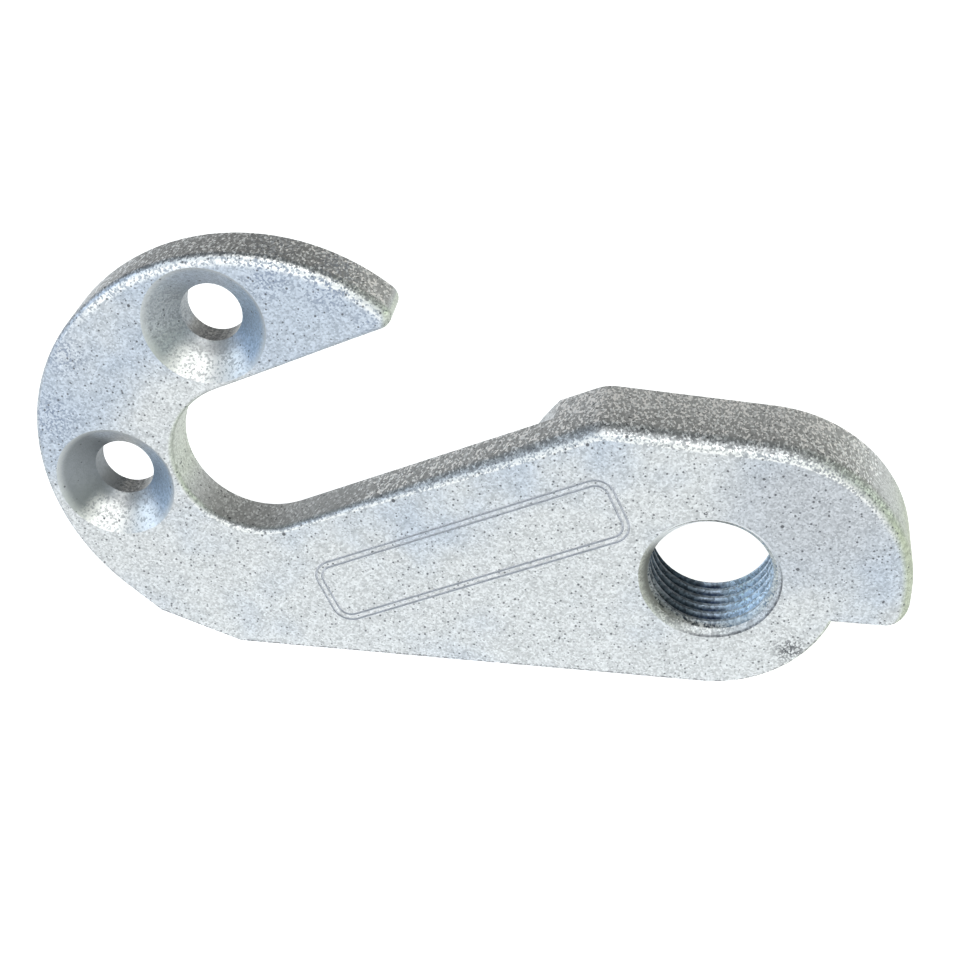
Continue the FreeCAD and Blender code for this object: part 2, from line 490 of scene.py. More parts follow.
@dataclass(frozen=True)
class TopSparkle:
    """The upper faces' painted shade and painted glints: fewer glints in the slot, lighter at the hook's
    tip, darker high on the hook and towards the front.
    """

    shade: float = 0.72
    sparkle: float = 1.9
    squash: float = 0.55
    slot: Ring = Ring(AXLE.x, AXLE.z, 10.0 * MM, 7.0 * MM)
    slot_share: float = 0.4
    tip: Ring = Ring(-23.0 * MM, 19.0 * MM, 9.0 * MM, 1.0 * MM)
    tip_shade: Fade = Fade(0.0, 1.0, 1.0, 1.45)
    hook_shade: Fade = Fade(10 * MM, 23 * MM, 1.0, 0.78)
    back_shade: Fade = Fade(-3.6 * MM, 2.0 * MM, 0.88, 1.2)

    def factor(self, surface: Surface) -> Socket:
        """Works out how bright each grain is.

        Args:
            surface: the material's nodes.

        Returns:
            What the colour of the upper faces is multiplied by.
        """
        wiring = surface.wiring
        slot_sparkle = Fade(0.0, 1.0, self.sparkle, self.slot_share * self.sparkle)
        sparkle = wiring.fade(surface.ring(self.slot), slot_sparkle)
        glints = wiring.product(surface.grained(self.squash)["Sparkle"], sparkle)
        return wiring.product(
            wiring.maths("ADD", glints, self.shade),
            wiring.fade(surface.place["Z"], self.hook_shade),
            wiring.fade(surface.ring(self.tip), self.tip_shade),
            wiring.fade(surface.place["Y"], self.back_shade),
        )


@dataclass(frozen=True)
class WearAndHighlightLine:
    """The bright line on the front edge, partly real wear and partly a painted highlight, which widens to a
    band on top of the hook.
    """

    raggedness: float = 0.15
    hook_width: Fade = Fade(13 * MM, 19 * MM, 0.0, 0.16)
    inner_side: Fade = Fade(0.82, 0.95)
    outer_side: Fade = Fade(0.98, 0.998, 1.0, 0.0)
    upper_edge: Fade = Fade(0.1, 0.24)
    right_end: Fade = Fade(0.1, 0.5, 1.0, 0.15)
    left_end: Fade = Fade(0.2, 0.33, 1.0, 0.0)
    band: Ring = Ring(AXLE.x, AXLE.z, 15.2 * MM, 15.75 * MM)
    band_front: Fade = Fade(0.9, 0.98)
    band_height: Fade = Fade(16 * MM, 20 * MM)
    grains: Fade = Fade(0.3, 0.55, 0.0, 0.8)

    def mask(self, surface: Surface) -> Socket:
        """Finds where the front edge is worn and painted bright, grain by grain.

        Args:
            surface: the material's nodes.

        Returns:
            How far the surface is worn and painted bright.
        """
        wiring = surface.wiring
        facing = surface.facing
        shade = surface.grain["Shade"]
        ragged = wiring.maths("ADD", facing["Front"], wiring.product(shade, self.raggedness))
        widened = wiring.maths("ADD", ragged, wiring.fade(surface.place["Z"], self.hook_width))
        line = wiring.product(
            wiring.fade(widened, self.inner_side),
            wiring.fade(facing["Front"], self.outer_side),
            wiring.fade(facing["Up"], self.upper_edge),
            wiring.fade(facing["Right"], self.right_end),
            wiring.fade(facing["Left"], self.left_end),
        )
        band = wiring.product(
            surface.ring(self.band),
            wiring.fade(facing["Front"], self.band_front),
            wiring.fade(surface.place["Z"], self.band_height),
        )
        return wiring.product(wiring.maths("MAXIMUM", line, band), wiring.fade(shade, self.grains))


@dataclass(frozen=True)
class DarkEdges:
    """The darker rounded front edge: a band above its bright line, and painted contact shade all along the
    lower edge.
    """

    strength: float = 0.75
    shoulder_outside: Fade = Fade(0.3, 0.5)
    shoulder_inside: Fade = Fade(0.75, 0.87, 1.0, 0.0)
    shoulder_up: Fade = Fade(0.3, 0.6, 0.0, 0.6)
    lower_outside: Fade = Fade(0.1, 0.3)
    lower_inside: Fade = Fade(0.96, 0.99, 1.0, 0.0)
    lower_down: Fade = Fade(-0.4, -0.1, 1.0, 0.0)
    lower_height: Fade = Fade(-5 * MM, 4 * MM, 1.0, 0.0)

    def mask(self, surface: Surface) -> Socket:
        """Finds where the rounded edge is darker, with painted shade along the lower edge.

        Args:
            surface: the material's nodes.

        Returns:
            How dark the edge is.
        """
        wiring = surface.wiring
        front = surface.facing["Front"]
        up = surface.facing["Up"]
        shoulder = wiring.product(
            wiring.fade(front, self.shoulder_outside),
            wiring.fade(front, self.shoulder_inside),
            wiring.fade(up, self.shoulder_up),
        )
        # painted contact shade along the lower edge, where it meets the floor
        lower = wiring.product(
            wiring.fade(front, self.lower_outside),
            wiring.fade(front, self.lower_inside),
            wiring.fade(up, self.lower_down),
            wiring.fade(surface.place["Z"], self.lower_height),
        )
        return wiring.product(wiring.maths("ADD", shoulder, lower), self.strength)


class Finish:
    """What every finish of the dropout has: a metal shader with bump from its grain."""

    GRAIN_ROUGHNESS = Fade(0.0, 1.0, 0.6, 0.42)
    name: str
    grain_size: float
    grain_depth: float
    bump_strength: float

    def material(self, effects: Effects) -> bpy.types.Material:
        """Makes the finish's material.

        Args:
            effects: the shared node groups.

        Returns:
            The material.
        """
        made = bpy.data.materials.new(self.name)
        made.use_nodes = True
        surface = Surface(made.node_tree, effects, self.grain_size)
        shader = surface.wiring.node("ShaderNodeBsdfPrincipled")
        output = surface.wiring.node("ShaderNodeOutputMaterial")
        surface.wiring.feed(output.inputs["Surface"], shader.outputs["BSDF"])
        roughness = surface.wiring.fade(surface.grain["Shade"], self.GRAIN_ROUGHNESS)
        surface.wiring.feed(shader.inputs["Roughness"], roughness)
        self.dress(surface, shader)
        return made

    def dress(self, surface: Surface, shader: bpy.types.Node) -> None:
        """Feeds the shader its colour and its bump."""
        raise NotImplementedError

    def bump(self, surface: Surface, shader: bpy.types.Node, height: Socket) -> None:
        """Raises the surface by a height.

        Args:
            surface: the material's nodes.
            shader: the metal shader.
            height: the height, from 0 to 1 over the grain's depth.
        """
        made = surface.wiring.node("ShaderNodeBump")
        surface.wiring.feed(made.inputs["Height"], height)
        made.inputs["Strength"].default_value = self.bump_strength
        made.inputs["Distance"].default_value = self.grain_depth
        surface.wiring.feed(shader.inputs["Normal"], made.outputs["Normal"])


@dataclass(frozen=True)
class BlastedFinish(Finish):
    """Bead-blasted aluminium: cool patches, dark specks, painted shade and glints on top, painted
    reflections on the sides, a front edge worn and painted bright, and painted shade along the lower edge.
    """

    name: str = "blasted_faces"
    colour: Colour = (0.565, 0.58, 0.59)
    cool_colour: Colour = (0.44, 0.49, 0.56)
    dull_colour: Colour = (0.45, 0.47, 0.50)
    # painted reflections: a greenish tint on faces turned to the right, darker and greener at the far end,
    # and a bluish tint on faces turned to the left
    right_reflection_colour: Colour = (0.495, 0.525, 0.475)
    end_reflection_colour: Colour = (0.42, 0.455, 0.37)
    left_reflection_colour: Colour = (0.44, 0.47, 0.50)
    # the colour of worn metal and of painted highlights
    wear_and_highlight_colour: Colour = (0.97, 0.97, 0.95)
    stain_colour: Colour = (0.17, 0.22, 0.33)
    # for specks, pits, smudges and the darker edges, with painted contact shade
    dark_colour: Colour = (0.10, 0.105, 0.115)
    metallic: float = 1.0
    grain_size: float = 0.13 * MM
    grain_depth: float = 0.02 * MM
    bump_strength: float = 0.5
    front_contrast: float = 0.66
    mean_shade: float = 0.5
    top: TopSparkle = TopSparkle()
    specks: Specks = Specks(spacing=0.38 * MM, radius=0.1 * MM, share=0.75, strength=0.85)
    pits: Specks = Specks(spacing=1.4 * MM, radius=0.17 * MM, share=0.5, strength=0.9)
    marks: Marks = FRONT_MARKS
    wear_and_highlight: WearAndHighlightLine = WearAndHighlightLine()
    dark_edges: DarkEdges = DarkEdges()
    patch_size: float = 9 * MM
    patch_detail: float = 3.0
    patch_height: Fade = Fade(-8 * MM, 22 * MM, -0.08, 0.15)
    patches: Fade = Fade(0.40, 0.75)
    spot_strength: float = 0.16
    stain_strength: float = 0.5
    stain_grains: Fade = Fade(0.3, 0.6, 1.0, 0.0)
    dark_grains: Fade = Fade(0.35, 0.65, 1.0, 0.0)
    upper_faces: Fade = Fade(0.5, 0.95)
    level_faces: Fade = Fade(0.3, 0.7, 1.0, 0.0)
    side_faces: Fade = Fade(0.2, 0.7)
    far_end: Fade = Fade(6 * MM, 12 * MM)

    def dress(self, surface: Surface, shader: bpy.types.Node) -> None:
        """Feeds the shader its colour and its bump."""
        wiring = surface.wiring
        pits = surface.specks(self.pits)
        colour = self._shaded(surface)
        colour = wiring.mix(self._wear_and_highlight(surface), colour, self.wear_and_highlight_colour)
        colour = wiring.mix(self._stained(surface), colour, self.stain_colour)
        colour = wiring.mix(self._darkened(surface), colour, self.dark_colour)
        colour = wiring.mix(wiring.product(pits, self.pits.strength), colour, self.dark_colour)
        wiring.feed(shader.inputs["Base Color"], colour)
        shader.inputs["Metallic"].default_value = self.metallic
        self.bump(surface, shader, wiring.maths("SUBTRACT", surface.grain["Height"], pits))

    def _shaded(self, surface: Surface) -> Socket:
        """Gives the metal its colour, by where it faces, with painted reflections on the side faces and
        painted shade and glints on the upper faces, and its grain.

        Args:
            surface: the material's nodes.

        Returns:
            The colour.
        """
        wiring = surface.wiring
        facing = surface.facing
        level = wiring.fade(facing["Up"], self.level_faces)
        colour = wiring.mix(wiring.product(self._cool(surface), level), self.colour, self.cool_colour)
        dull = wiring.product(surface.rings(self.marks.dull_spots), level)
        colour = wiring.mix(dull, colour, self.dull_colour)
        # painted reflection on the faces turned to the right
        right = wiring.product(wiring.fade(facing["Right"], self.side_faces), level)
        far_end = wiring.fade(surface.place["X"], self.far_end)
        colour = wiring.mix(right, colour, wiring.mix(far_end, self.right_reflection_colour, self.end_reflection_colour))
        # painted reflection on the faces turned to the left
        left = wiring.product(wiring.fade(facing["Left"], self.side_faces), level)
        colour = wiring.mix(left, colour, self.left_reflection_colour)
        swing = wiring.maths("SUBTRACT", surface.grain["Shade"], self.mean_shade)
        front = wiring.maths("ADD", wiring.product(swing, self.front_contrast), 1.0)
        up = wiring.fade(facing["Up"], self.upper_faces)
        return wiring.scaled(colour, wiring.ramp(up, 0.0, 1.0, front, self.top.factor(surface)))

    def _cool(self, surface: Surface) -> Socket:
        """Finds where the metal looks cool: in cloudy patches, more of them higher up, and in the spots.

        Args:
            surface: the material's nodes.

        Returns:
            How cool the surface looks.
        """
        wiring = surface.wiring
        cloud = wiring.noise(wiring.place(), 1 / self.patch_size, self.patch_detail)
        cloud = wiring.maths("ADD", cloud, wiring.fade(surface.place["Z"], self.patch_height))
        spots = wiring.product(surface.rings(self.marks.cool_spots), self.spot_strength)
        return wiring.fade(wiring.maths("ADD", cloud, spots), self.patches)

    def _wear_and_highlight(self, surface: Surface) -> Socket:
        """Where the metal is worn and painted bright with a highlight."""
        return self.wear_and_highlight.mask(surface)

    def _stained(self, surface: Surface) -> Socket:
        """Where the front is stained, between the grains."""
        wiring = surface.wiring
        grains = wiring.fade(surface.grain["Shade"], self.stain_grains)
        return wiring.product(surface.rings(self.marks.stains), grains, self.stain_strength)

    def _darkened(self, surface: Surface) -> Socket:
        """Finds where the metal is dark: specks all over, darker edges with painted shade along the lower
        one, and the smudges.

        Args:
            surface: the material's nodes.

        Returns:
            How dark the surface is.
        """
        wiring = surface.wiring
        grains = wiring.fade(surface.grain["Shade"], self.dark_grains)
        darkening = wiring.maths("MAXIMUM", self._dark_edges(surface), surface.rings(self.marks.smudges))
        specks = wiring.product(surface.specks(self.specks), self.specks.strength)
        return wiring.maths("MAXIMUM", wiring.product(darkening, grains), specks)

    def _dark_edges(self, surface: Surface) -> Socket:
        """Where the edges are darker, with painted shade along the lower edge."""
        return self.dark_edges.mask(surface)


@dataclass(frozen=True)
class CountersinkFinish(BlastedFinish):
    """The blasted finish on the countersinks: duller, with painted reflections on the sides, painted shade
    on one side of the lower cone, a painted highlight at the bottom, and soft at the rim.
    """

    name: str = "blasted_countersinks"
    colour: Colour = (0.46, 0.47, 0.475)
    # painted reflections: darker grey on the sides turned right, blue on the sides turned left
    right_reflection_colour: Colour = (0.33, 0.355, 0.375)
    left_reflection_colour: Colour = (0.35, 0.44, 0.55)
    rim_colour: Colour = (0.54, 0.56, 0.57)
    # painted shade on one side of the lower cone
    dim_colour: Colour = (0.243, 0.261, 0.276)
    top: TopSparkle = TopSparkle(sparkle=0.5)
    specks: Specks = Specks(spacing=0.38 * MM, radius=0.1 * MM, share=0.2, strength=0.85)
    marks: Marks = Marks()
    rims: tuple[Ring, ...] = ()
    outer_halves: tuple[Ring, ...] = ()
    dim_cones: tuple[Ring, ...] = ()
    dim_side: Fade = Fade(0.1, 0.4)
    cone_bottom: Fade = Fade(0.42, 0.64)
    hole_bottom: Fade = Fade(0.75, 0.85, 1.0, 0.0)
    hole_darkening: Fade = Fade(0.78, 0.95, 0.0, 0.5)
    bright_grains: Fade = Fade(0.25, 0.5, 0.3, 0.9)

    def _shaded(self, surface: Surface) -> Socket:
        """The duller colour, with painted shade on one side of the lower cone, which goes over into the
        front face's at the nearest rim.
        """
        wiring = surface.wiring
        side = wiring.fade(surface.facing["Right"], self.dim_side)
        dim = wiring.product(surface.rings(self.dim_cones), side)
        colour = wiring.mix(dim, super()._shaded(surface), self.dim_colour)
        return wiring.mix(surface.nearest(self.rims), colour, self.rim_colour)

    def _wear_and_highlight(self, surface: Surface) -> Socket:
        """The painted highlight: bright grains at the bottom of the cones, in their outer half."""
        wiring = surface.wiring
        return wiring.product(
            wiring.fade(surface.facing["Up"], self.cone_bottom),
            wiring.fade(surface.facing["Up"], self.hole_bottom),
            wiring.fade(surface.grain["Shade"], self.bright_grains),
            surface.nearest(self.outer_halves),
        )

    def _dark_edges(self, surface: Surface) -> Socket:
        """The bottom of each screw hole is darker."""
        return surface.wiring.fade(surface.facing["Up"], self.hole_darkening)


@dataclass(frozen=True)
class EyeRimFinish(BlastedFinish):
    """The blasted finish on the eye's front chamfer: duller, with painted reflections, a painted shadow and
    a painted highlight, and a dirty line along its lower edge.
    """

    name: str = "blasted_rim"
    # painted reflections on the sides
    right_reflection_colour: Colour = (0.42, 0.43, 0.39)
    left_reflection_colour: Colour = (0.52, 0.55, 0.58)
    # painted shadow at the inner edge next to the arm
    shadow_colour: Colour = (0.13, 0.135, 0.125)
    # painted reflection of the floor at the top of the eye
    floor_reflection_colour: Colour = (0.90, 0.92, 0.94)
    front_contrast: float = 1.0
    metallic: float = 0.4
    marks: Marks = Marks()
    inner_edge: Ring = Ring(EYE.x, EYE.z, 5.2 * MM, 4.65 * MM)
    line: Ring = Ring(EYE.x, EYE.z, 5.0 * MM, 5.12 * MM)
    shadow_side: Fade = Fade(0.05, 0.5)
    top_of_eye: Fade = Fade(-0.6, -0.2, 1.0, 0.0)
    bottom_of_eye: Fade = Fade(0.3, 0.6)
    bright_grains: Fade = Fade(0.4, 0.8, 0.0, 0.35)
    line_below: Fade = Fade(-0.4, 0.1)
    line_side: Fade = Fade(0.0, 0.4, 1.0, 0.0)
    line_grains: Fade = Fade(0.2, 0.8, 0.9, 0.65)

    def _shaded(self, surface: Surface) -> Socket:
        """The colour, with a painted shadow at the inner edge on the side next to the arm and a painted
        reflection of the floor at the top of the eye.
        """
        wiring = surface.wiring
        side = wiring.fade(surface.facing["Right"], self.shadow_side)
        dark = wiring.product(surface.ring(self.inner_edge), side)
        colour = wiring.mix(dark, super()._shaded(surface), self.shadow_colour)
        top = wiring.fade(surface.facing["Up"], self.top_of_eye)
        return wiring.mix(top, colour, self.floor_reflection_colour)

    def _wear_and_highlight(self, surface: Surface) -> Socket:
        """The painted highlight: bright grains at the bottom of the chamfer."""
        wiring = surface.wiring
        grains = wiring.fade(surface.grain["Shade"], self.bright_grains)
        return wiring.product(wiring.fade(surface.facing["Up"], self.bottom_of_eye), grains)

    def _darkened(self, surface: Surface) -> Socket:
        """The dirty line, which leaves out the top of the eye and the side next to the arm."""
        wiring = surface.wiring
        return wiring.product(
            surface.ring(self.line),
            wiring.fade(surface.facing["Up"], self.line_below),
            wiring.fade(surface.facing["Right"], self.line_side),
            wiring.fade(surface.grain["Shade"], self.line_grains),
        )


@dataclass(frozen=True)
class BorderFinish(BlastedFinish):
    """The finish in the border's fine lines: matt rather than metallic, without glints and with few specks,
    which makes the lines paler.
    """

    name: str = "matt_border"
    colour: Colour = (0.56, 0.58, 0.62)
    cool_colour: Colour = (0.52, 0.55, 0.60)
    right_reflection_colour: Colour = (0.56, 0.58, 0.62)
    left_reflection_colour: Colour = (0.56, 0.58, 0.62)
    metallic: float = 0.0
    top: TopSparkle = TopSparkle(shade=1.0, sparkle=0.0)
    specks: Specks = Specks(spacing=0.38 * MM, radius=0.1 * MM, share=0.05, strength=0.85)
    marks: Marks = Marks()


@dataclass(frozen=True)
class CutThreadFinish(Finish):
    """Painted shade in the thread's grooves, a painted shadow next to the arm, a painted sheen away from
    it, and dust at the rim.
    """

    name: str = "cut_thread"
    # painted shade in the grooves, lighter on the crests
    groove_shade_colour: Colour = (0.03, 0.045, 0.08)
    crest_colour: Colour = (0.40, 0.48, 0.58)
    shadow_colour: Colour = (0.02, 0.03, 0.035)
    sheen_colour: Colour = (0.54, 0.70, 0.86)
    dust_colour: Colour = (0.45, 0.46, 0.44)
    metallic: float = 1.0
    grain_size: float = 0.15 * MM
    grain_depth: float = 0.015 * MM
    bump_strength: float = 0.4
    grooves: Ring = Ring(EYE.x, EYE.z, 4.55 * MM, 4.8 * MM)
    shadow: Fade = Fade(-1.4 * MM, 0.9 * MM, 0.82, 0.0)
    sheen: Fade = Fade(0.4 * MM, 2.5 * MM, 0.0, 0.9)
    sheen_end: Fade = Fade(2.8 * MM, 4.6 * MM, 1.0, 0.55)
    rim_dust: Fade = Fade(-3.8 * MM, -2.4 * MM, 1.0, 0.0)
    deep_dust: Fade = Fade(-3.8 * MM, -0.6 * MM, 0.7, 0.0)
    dust_side: Fade = Fade(-4.6 * MM, -2.4 * MM, 0.8, 0.0)
    dust_grains: Fade = Fade(0.15, 0.5)
    grain_shade: Fade = Fade(0.1, 0.9, 0.6, 1.4)

    def dress(self, surface: Surface, shader: bpy.types.Node) -> None:
        """Feeds the shader its colour and its bump."""
        wiring = surface.wiring
        along = surface.place["X"]
        colour = wiring.mix(surface.ring(self.grooves), self.crest_colour, self.groove_shade_colour)
        # painted shadow next to the arm
        colour = wiring.mix(wiring.fade(along, self.shadow), colour, self.shadow_colour)
        # painted sheen away from the arm
        sheen = wiring.product(wiring.fade(along, self.sheen), wiring.fade(along, self.sheen_end))
        colour = wiring.mix(sheen, colour, self.sheen_colour)
        colour = wiring.mix(self._dusty(surface), colour, self.dust_colour)
        shade = wiring.fade(surface.grain["Shade"], self.grain_shade)
        wiring.feed(shader.inputs["Base Color"], wiring.scaled(colour, shade))
        shader.inputs["Metallic"].default_value = self.metallic
        self.bump(surface, shader, surface.grain["Height"])

    def _dusty(self, surface: Surface) -> Socket:
        """Finds where dust lies: in the first turns, and deeper on the side next to the arm.

        Args:
            surface: the material's nodes.

        Returns:
            How dusty the surface is.
        """
        wiring = surface.wiring
        rim = wiring.fade(surface.place["Y"], self.rim_dust)
        deep = wiring.fade(surface.place["Y"], self.deep_dust)
        side = wiring.product(deep, wiring.fade(surface.place["X"], self.dust_side))
        grains = wiring.fade(surface.grain["Shade"], self.dust_grains)
        return wiring.product(wiring.maths("MAXIMUM", rim, side), grains)


@dataclass
class ThreadTap:
    """The tool that cuts the eye's thread: one helical ridge on a core, along Y."""

    core_radius: float
    ridge_radius: float
    pitch: float
    start: float
    end: float
    steps: int = 72
    crest_share: float = 1 / 8

    def build(self) -> bpy.types.Object:
        """Winds one turn's profile into a closed tap.

        Returns:
            The tap, with its place in its mesh.
        """
        deselect()
        start = (self.core_radius, self.start, 0)
        bpy.ops.mesh.primitive_circle_add(vertices=3, radius=self.pitch, location=start)
        tap = bpy.context.object
        tap.name = "thread_tap"
        bpy.ops.object.transform_apply(location=True, rotation=True, scale=True)
        bpy.ops.object.mode_set(mode="EDIT")
        bpy.ops.mesh.select_all(action="SELECT")
        bpy.ops.mesh.merge(type="CENTER")
        flank = (1 - self.crest_share) / 2 * self.pitch
        depth = self.ridge_radius - self.core_radius
        for step in ((depth, flank, 0), (0, self.crest_share * self.pitch, 0), (-depth, flank, 0)):
            bpy.ops.mesh.extrude_vertices_move(TRANSFORM_OT_translate={"value": step})
        bpy.ops.object.mode_set(mode="OBJECT")
        self._wind(tap)
        self._close(tap)
        return tap

    def _wind(self, tap: bpy.types.Object) -> None:
        """Turns the profile round the axis, one pitch to the turn."""
        turns = math.ceil((self.end - self.start) / self.pitch)
        bpy.ops.object.modifier_add(type="SCREW")
        screw = tap.modifiers[-1]
        screw.axis = "Y"
        screw.screw_offset = self.pitch
        screw.iterations = turns
        screw.steps = self.steps
        screw.render_steps = self.steps
        bpy.ops.object.modifier_apply(modifier=screw.name)

    @staticmethod
    def _close(tap: bpy.types.Object) -> None:
        """Joins the turns, caps both ends and points the faces outwards."""
        bpy.ops.object.mode_set(mode="EDIT")
        bpy.ops.mesh.select_all(action="SELECT")
        bpy.ops.mesh.remove_doubles(threshold=WELD)
        bpy.ops.mesh.select_all(action="SELECT")
        bpy.ops.mesh.fill_holes(sides=0)
        bpy.ops.mesh.select_all(action="SELECT")
        bpy.ops.mesh.normals_make_consistent(inside=False)
        bpy.ops.object.mode_set(mode="OBJECT")


@dataclass
class Dropout:
    """The dropout as it is seen: the solid's own form with the thread cut in its eye."""

    thread_radius: float = 5.0 * MM
    thread_pitch: float = 1.0 * MM
    tap_clearance: float = 0.2 * MM
    tap_overrun: float = 2.0 * MM
    rim_width: float = 0.75 * MM
    countersink_radius: float = 4.6 * MM
    rim_share: Span = (0.85, 1.0)
    outer_share: Span = (0.55, 0.75)
    cone_share: Span = (1.1, 1.0)
    cone_tilt: Span = (-0.75, -0.66)
    wall_tilt: Span = (-0.95, 0.95)
    border_depth: float = 0.15 * MM
    flatness: float = 0.002
    smooth_angle: float = math.radians(30)

    def build(self) -> bpy.types.Object:
        """Copies the solid, merges its facets and cuts the thread.

        Returns:
            The finished piece.
        """
        pick(frame["nodes"][NODE])
        bpy.ops.object.duplicate()
        piece = bpy.context.object
        piece.name = "blasted_dropout"
        for key in list(piece.keys()):
            del piece[key]
        bpy.ops.object.parent_clear(type="CLEAR_KEEP_TRANSFORM")
        self._merge(piece)
        self._cut_thread(piece)
        self._smooth(piece)
        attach(piece, BODY)
        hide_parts(NODE)
        return piece

    @staticmethod
    def _merge(piece: bpy.types.Object) -> None:
        """Joins the loose facets into one closed skin."""
        pick(piece)
        bpy.ops.object.mode_set(mode="EDIT")
        bpy.ops.mesh.select_all(action="SELECT")
        bpy.ops.mesh.customdata_custom_splitnormals_clear()
        bpy.ops.mesh.remove_doubles(threshold=WELD)
        bpy.ops.object.mode_set(mode="OBJECT")

    def _cut_thread(self, piece: bpy.types.Object) -> None:
        """Cuts the thread's groove from face to face of the eye."""
        low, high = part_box(NODE)
        bore = mount("derailleur_thread")["dims"]["r_mm"] * MM
        tap = ThreadTap(
            core_radius=bore - self.tap_clearance,
            ridge_radius=self.thread_radius,
            pitch=self.thread_pitch,
            start=low.y - self.tap_overrun,
            end=high.y + self.tap_overrun,
        ).build()
        pick(piece)
        bpy.ops.object.modifier_add(type="BOOLEAN")
        cut = piece.modifiers[-1]
        cut.operation = "DIFFERENCE"
        cut.solver = "EXACT"
        cut.object = tap
        bpy.ops.object.modifier_apply(modifier=cut.name)
        pick(tap)
        bpy.ops.object.delete()

    def _smooth(self, piece: bpy.types.Object) -> None:
        """Shades the rounded edges smoothly and keeps the flat faces flat."""
        pick(piece)
        bpy.ops.object.shade_smooth_by_angle(angle=self.smooth_angle)
        bpy.ops.object.modifier_add(type="WEIGHTED_NORMAL")
        weighted = piece.modifiers[-1]
        weighted.keep_sharp = True
        bpy.ops.object.modifier_apply(modifier=weighted.name)

    def dress(self, piece: bpy.types.Object) -> None:
        """Gives each region its finish.

        Args:
            piece: the finished piece.
        """
        effects = Effects()
        screws = self._screw_places()
        lower_screw = min(screws, key=lambda place: place.z)
        countersinks = CountersinkFinish(
            rims=self._rings(screws, self.rim_share),
            outer_halves=self._rings(screws, self.outer_share),
            dim_cones=self._rings([lower_screw], self.cone_share),
        )
        finishes = {
            Region.FACES: BlastedFinish(),
            Region.COUNTERSINKS: countersinks,
            Region.EYE_RIM: EyeRimFinish(),
            Region.THREAD: CutThreadFinish(),
            Region.BORDER: BorderFinish(),
        }
        piece.data.materials.clear()
        for region in Region:
            piece.data.materials.append(finishes[region].material(effects))
        reach = self.thread_radius + self.rim_width
        self._assign(piece, Region.BORDER, self._in_border())
        self._assign(piece, Region.THREAD, self._on_walls([EYE], reach, self.wall_tilt))
        self._assign(piece, Region.EYE_RIM, self._on_walls([EYE], reach, self.cone_tilt))
        cones = self._on_walls(screws, self.countersink_radius, self.wall_tilt)
        self._assign(piece, Region.COUNTERSINKS, cones)

    def _rings(self, places: list[Vector], share: Span) -> tuple[Ring, ...]:
        """Lays a ring round each screw hole.

        Args:
            places: a point on each hole's axis.
            share: where the ring starts and ends, as shares of the countersink's radius.

        Returns:
            The rings.
        """
        start, end = (part * self.countersink_radius for part in share)
        return tuple(Ring(place.x, place.z, start, end) for place in places)

    @staticmethod
    def _screw_places() -> list[Vector]:
        """Where the frame screws' holes are.

        Returns:
            A point on each hole's axis: both lie square to the line from the axle to their middle.
        """
        screws = mount("frame_screws")
        middle = Vector(screws["pos_m"])
        away = middle - AXLE
        across = Vector((-away.z, 0, away.x)).normalized() * screws["dims"]["pcd_mm"] / 2 * MM
        return [middle + across, middle - across]

    @staticmethod
    def _on_walls(axes: list[Vector], reach: float, tilt: Span) -> FaceTest:
        """Tells the walls of some holes from the other faces.

        Args:
            axes: a point on each hole's axis, which runs along Y.
            reach: how far from the axis the hole's walls go.
            tilt: between which values the walls' normals lie along the axis.

        Returns:
            The test for one face.
        """
        def on_wall(face: bpy.types.MeshPolygon) -> bool:
            """Whether the face is a wall of one of the holes."""
            off = [Vector((face.center.x - axis.x, face.center.z - axis.z)).length for axis in axes]
            return min(off) < reach and tilt[0] < face.normal.y < tilt[1]

        return on_wall

    def _in_border(self) -> FaceTest:
        """Tells the border's fine lines from the other faces.

        Returns:
            The test for one face: a line's floor or wall lies just below the front face.
        """
        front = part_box(NODE)[0].y

        def in_line(face: bpy.types.MeshPolygon) -> bool:
            """Whether the face is a floor or wall of a line."""
            depth = face.center.y - front
            wall = abs(face.normal.y) < self.flatness and 0 < depth < self.border_depth
            deepest = abs(depth - self.border_depth) < self.flatness * MM
            return wall or (deepest and face.normal.y < self.flatness - 1)

        return in_line

    @staticmethod
    def _assign(piece: bpy.types.Object, region: Region, chosen: FaceTest) -> None:
        """Gives the faces of one region their finish.

        Args:
            piece: the finished piece.
            region: the region.
            chosen: the test for the region's faces.
        """
        pick(piece)
        bpy.ops.object.mode_set(mode="EDIT")
        bpy.ops.mesh.select_mode(type="FACE")
        bpy.ops.mesh.select_all(action="DESELECT")
        bpy.ops.object.mode_set(mode="OBJECT")
        for face in piece.data.polygons:
            face.select = chosen(face)
        bpy.ops.object.mode_set(mode="EDIT")
        piece.active_material_index = region.value
        bpy.ops.object.material_slot_assign()
        bpy.ops.object.mode_set(mode="OBJECT")


@dataclass(frozen=True)
class Lamp:
    """One soft panel light."""

    name: str
    place: Place
    size: float
    power: float
    colour: Colour = WHITE

    def build(self, target: Vector) -> None:
        """Sets the light up so that it faces a point.

        Args:
            target: the point.
        """
        deselect()
        turn = (target - Vector(self.place)).to_track_quat("-Z", "Y").to_euler()
        bpy.ops.object.light_add(type="AREA", location=self.place, rotation=turn)
        lamp = bpy.context.object
        lamp.name = self.name
        lamp.data.shape = "DISK"
        lamp.data.size = self.size
        lamp.data.energy = self.power
        lamp.data.color = self.colour


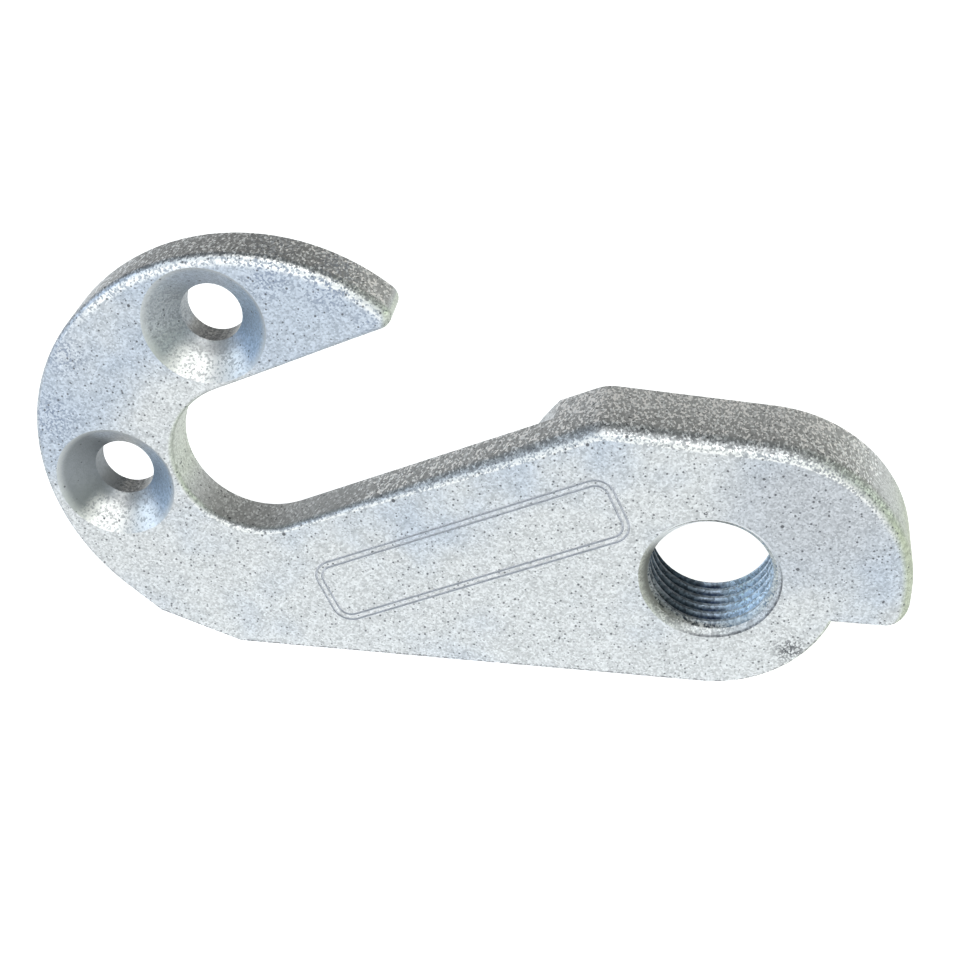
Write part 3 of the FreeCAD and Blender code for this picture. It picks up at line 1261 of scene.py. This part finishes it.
@dataclass
class Studio:
    """The pale floor, the soft light and the camera."""

    floor_size: float = 20.0
    floor_colour: Colour = (0.93, 0.93, 0.93)
    floor_roughness: float = 0.9
    floor_glow: float = 0.75
    room_left: Colour = (0.36, 0.43, 0.51)
    room_right: Colour = (0.43, 0.46, 0.38)
    room_back: Colour = (0.58, 0.56, 0.53)
    room_top: Colour = (0.20, 0.21, 0.21)
    room_horizon: Colour = WHITE
    left_to_right: Fade = Fade(-1.0, 1.0)
    front_to_back: Fade = Fade(0.2, 0.9)
    side_to_top: Fade = Fade(0.6, 0.9)
    horizon_height: Fade = Fade(0.07, 0.11, 1.0, 0.0)
    eye_to_camera: Place = (-1.10 * MM, -113.43 * MM, 75.42 * MM)
    sight: Place = (-0.1209, 0.8414, -0.5267)
    lens: float = 68.21
    clip_start: float = 1 * MM
    lamps: tuple[Lamp, ...] = (
        Lamp("front_panel", place=(0.12, -1.1, 1.18), size=1.1, power=9.5),
        Lamp("left_panel", place=(-0.9, -0.4, 0.3), size=0.5, power=1.6, colour=(0.62, 0.78, 1.0)),
        Lamp("right_panel", place=(0.9, -0.1, 0.3), size=0.5, power=1.2, colour=(0.86, 1.0, 0.78)),
    )

    def build(self) -> None:
        """Sets up the floor, the surroundings, the lights and the camera."""
        low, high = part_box(NODE)
        self._floor(low.z)
        self._surroundings()
        for lamp in self.lamps:
            lamp.build((low + high) / 2)
        self._camera()
        bpy.context.scene.view_settings.view_transform = "Standard"

    def _floor(self, height: float) -> None:
        """Lays the floor under the dropout.

        Args:
            height: where the dropout's lower edge rests.
        """
        deselect()
        bpy.ops.mesh.primitive_plane_add(size=self.floor_size, location=(0, 0, height))
        floor = bpy.context.object
        floor.name = "floor"
        bpy.ops.object.transform_apply(location=True, rotation=True, scale=True)
        made = bpy.data.materials.new("pale_floor")
        made.use_nodes = True
        shader = made.node_tree.nodes["Principled BSDF"]
        shader.inputs["Base Color"].default_value = (*self.floor_colour, 1.0)
        shader.inputs["Roughness"].default_value = self.floor_roughness
        shader.inputs["Emission Color"].default_value = (*WHITE, 1.0)
        shader.inputs["Emission Strength"].default_value = self.floor_glow
        floor.data.materials.append(made)

    def _surroundings(self) -> None:
        """Fills the room with soft light: cool on the left, warm on the right, dim overhead, pale below."""
        world = bpy.data.worlds.new("room")
        world.use_nodes = True
        wiring = Wiring(world.node_tree)
        way = wiring.split(wiring.node("ShaderNodeTexCoord").outputs["Generated"])
        room = wiring.mix(wiring.fade(way["X"], self.left_to_right), self.room_left, self.room_right)
        room = wiring.mix(wiring.fade(way["Y"], self.front_to_back), room, self.room_back)
        room = wiring.mix(wiring.fade(way["Z"], self.side_to_top), room, self.room_top)
        room = wiring.mix(wiring.fade(way["Z"], self.horizon_height), room, self.room_horizon)
        background = wiring.node("ShaderNodeBackground")
        wiring.feed(background.inputs["Color"], room)
        wiring.feed(wiring.node("ShaderNodeOutputWorld").inputs["Surface"], background.outputs[0])
        bpy.context.scene.world = world

    def _camera(self) -> None:
        """Puts the camera where the photograph was taken from."""
        deselect()
        turn = Vector(self.sight).to_track_quat("-Z", "Y").to_euler()
        bpy.ops.object.camera_add(location=self.eye_to_camera, rotation=turn)
        camera = bpy.context.object
        camera.name = "camera"
        camera.data.lens = self.lens
        camera.data.clip_start = self.clip_start
        bpy.context.scene.camera = camera


def main() -> None:
    """Builds the dropout and its studio."""
    logging.basicConfig(level=logging.INFO)
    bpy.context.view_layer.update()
    dropout = Dropout()
    piece = dropout.build()
    dropout.dress(piece)
    log.info("%s: %d faces", piece.name, len(piece.data.polygons))
    Studio().build()


if __name__ == "__main__":
    main()
